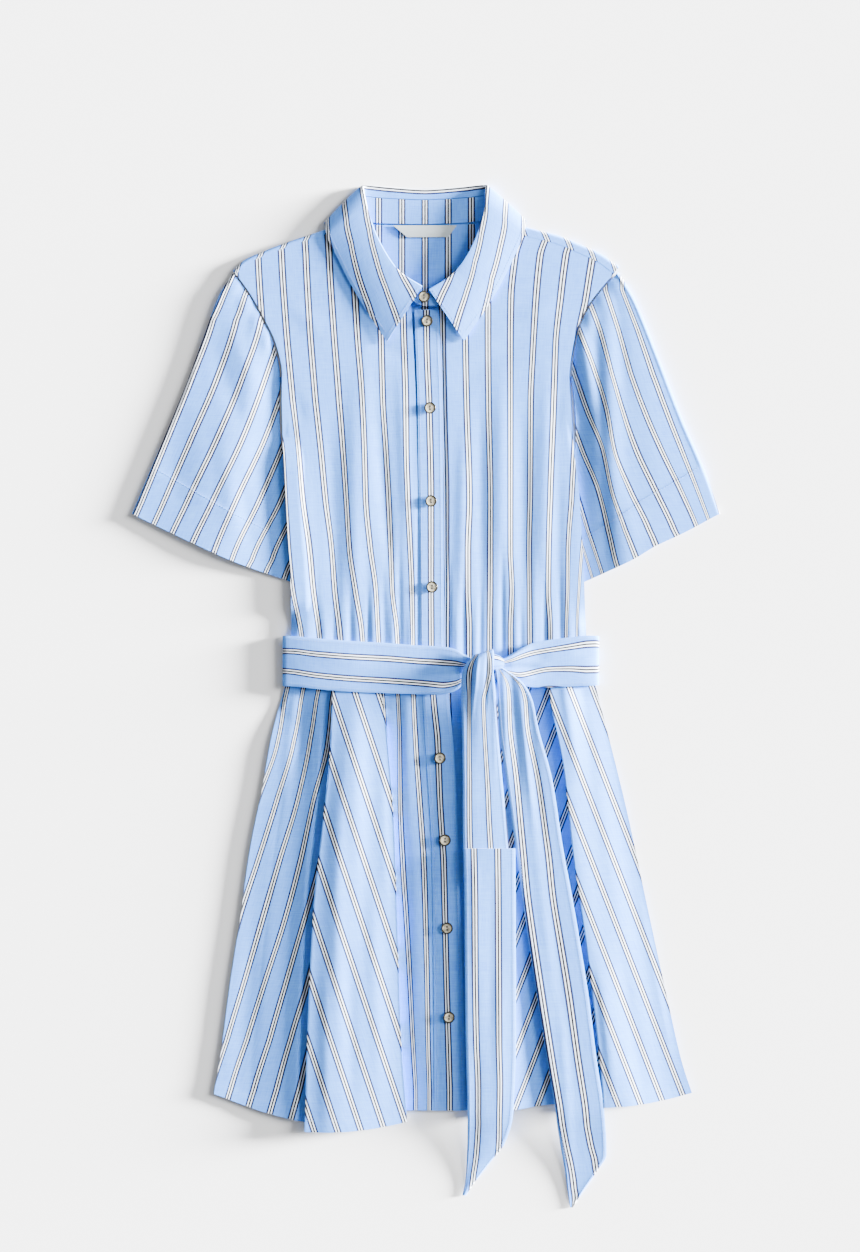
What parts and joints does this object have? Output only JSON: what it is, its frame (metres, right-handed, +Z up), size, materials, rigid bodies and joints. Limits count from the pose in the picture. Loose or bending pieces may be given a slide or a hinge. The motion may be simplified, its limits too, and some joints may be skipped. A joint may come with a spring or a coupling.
{
  "type": "shirt dress",
  "caption": "Short-sleeved shirt dress with pointed collar, button front, gathered waist and folded flared skirt, laid flat with its tie belt knotted.",
  "frame": {"origin": "on the table under the middle of the waist, on the underside of the belt's back stretch", "axes": "+Y towards the collar, +X to the wearer's left, +Z up out of the table, towards the front of the dress"},
  "size_m": [0.589, 1.0239, 0.0225],
  "materials": {
    "striped_cotton": "plain woven cotton, matte",
    "label": "woven tape, matte",
    "button": "pearly, polished"
  },
  "bodies": {
    "root": {"bodice_front_right": "striped_cotton", "bodice_front_left": "striped_cotton", "bodice_back": "striped_cotton", "placket_bodice": "striped_cotton", "sleeve_right": "striped_cotton", "sleeve_left": "striped_cotton", "collar_stand": "striped_cotton", "collar_fall": "striped_cotton", "skirt_back": "striped_cotton", "skirt_side_right": "striped_cotton", "skirt_gore_right": "striped_cotton", "skirt_centre_right": "striped_cotton", "placket_skirt": "striped_cotton", "skirt_centre_left": "striped_cotton", "skirt_gore_left": "striped_cotton", "skirt_side_left": "striped_cotton", "belt_back": "striped_cotton", "belt_front_right": "striped_cotton", "belt_front_left": "striped_cotton", "belt_knot": "striped_cotton", "belt_tail_right_upper": "striped_cotton", "belt_tail_right_lower": "striped_cotton", "belt_tail_left": "striped_cotton", "neck_label": "label", "button_collar": "button", "button_bodice_1": "button", "button_bodice_2": "button", "button_bodice_3": "button", "button_bodice_4": "button", "button_skirt_1": "button", "button_skirt_2": "button", "button_skirt_3": "button", "button_skirt_4": "button"}
  },
  "joints": []
}
